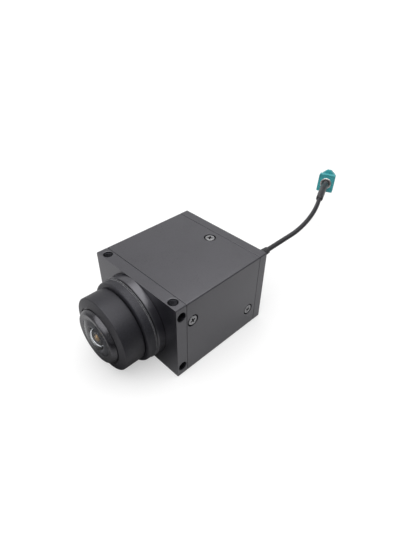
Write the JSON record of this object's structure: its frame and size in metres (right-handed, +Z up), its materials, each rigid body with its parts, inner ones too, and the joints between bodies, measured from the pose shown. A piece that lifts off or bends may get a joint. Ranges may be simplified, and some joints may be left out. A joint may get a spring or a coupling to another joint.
{
  "type": "global shutter camera",
  "caption": "Box-shaped global shutter camera with a screw-in wide-angle lens, lock ring, tapped mounting holes and a coaxial pigtail that ends in a keyed connector.",
  "frame": {"origin": "middle of the housing's flat base, half way along the housing without lens and cable", "axes": "+Z up, -Y out of the lens, +Y towards the cable, +X to the camera's left as it looks out"},
  "size_m": [0.06, 0.2172, 0.044],
  "materials": {
    "anodised_housing": "satin",
    "lens_metal": "matte",
    "ring_gloss": "gloss",
    "seal_rubber": "matte",
    "washer_plastic": "matte",
    "screw_steel": "satin",
    "front_glass": "gloss",
    "inner_glass": "gloss",
    "filter_glass": "gloss",
    "board_laminate": "satin",
    "chip_mould": "matte",
    "sensor_ceramic": "matte",
    "coil_ferrite": "matte",
    "capacitor_can": "satin",
    "standoff_brass": "satin",
    "contact_brass": "gloss",
    "pad_silicone": "matte",
    "gland_metal": "satin",
    "boot_rubber": "matte",
    "cable_jacket": "satin",
    "shrink_tube": "satin",
    "connector_teal": "satin",
    "ferrule_metal": "satin",
    "insulator_white": "matte"
  },
  "bodies": {
    "housing": {"front_block": "anodised_housing", "housing_sleeve": "anodised_housing", "rear_cover": "anodised_housing", "front_seal_frame": "seal_rubber", "rear_seal_frame": "seal_rubber", "sleeve_screws_front": "screw_steel", "sleeve_screws_rear": "screw_steel", "board_screws": "screw_steel", "sensor_cover_glass": "inner_glass", "sensor_board": "board_laminate", "processor_board": "board_laminate", "serializer_board": "board_laminate", "image_processor": "chip_mould", "memory_chips": "chip_mould", "serializer_chip": "chip_mould", "sensor_link": "chip_mould", "serializer_link": "chip_mould", "image_sensor": "sensor_ceramic", "power_inductor": "coil_ferrite", "bulk_capacitors": "capacitor_can", "front_standoffs": "standoff_brass", "rear_standoffs": "standoff_brass", "board_coax_jack": "contact_brass", "connector_outer_contact": "contact_brass", "connector_pin": "contact_brass", "thermal_pad": "pad_silicone", "cable_gland": "gland_metal", "gland_nut": "gland_metal", "cable_boot": "boot_rubber", "coax_cable": "cable_jacket", "inner_coax_lead": "cable_jacket", "cable_heat_shrink": "shrink_tube", "connector_housing": "connector_teal", "connector_ferrule": "ferrule_metal", "connector_insulator": "insulator_white"},
    "lens_carriage": {"lens_seal_ring": "seal_rubber"},
    "lens": {"lens_barrel": "lens_metal", "front_element": "front_glass", "front_retaining_ring": "ring_gloss", "second_element": "inner_glass", "front_spacer": "ring_gloss", "third_element": "inner_glass", "middle_spacer": "ring_gloss", "aperture_stop": "ring_gloss", "stop_spacer": "ring_gloss", "rear_crown_element": "inner_glass", "rear_flint_element": "inner_glass", "rear_spacer": "ring_gloss", "rear_element": "inner_glass", "rear_retaining_ring": "ring_gloss", "infrared_filter": "filter_glass"},
    "ring_carriage": {"lock_ring_washer": "washer_plastic"},
    "lock_ring": {"lens_lock_ring": "lens_metal"}
  },
  "joints": [
    {"name": "focus_travel", "type": "slide", "parent": "housing", "child": "lens_carriage", "axis": [0, -1, 0], "range_m": [0, 0.0005]},
    {"name": "focus_turn", "type": "hinge", "parent": "lens_carriage", "child": "lens", "pos_m": [0, -0.031, 0.022], "axis": [0, -1, 0], "range_deg": [0, 360]},
    {"name": "ring_travel", "type": "slide", "parent": "lens", "child": "ring_carriage", "axis": [0, -1, 0], "range_m": [0, 0.0005]},
    {"name": "ring_turn", "type": "hinge", "parent": "ring_carriage", "child": "lock_ring", "pos_m": [0, -0.031, 0.022], "axis": [0, -1, 0], "range_deg": [0, 360]}
  ],
  "couplings": [
    {"joint": "focus_turn", "follows": "focus_travel", "rad_per_m": 12566},
    {"joint": "ring_turn", "follows": "ring_travel", "rad_per_m": 12566}
  ]
}
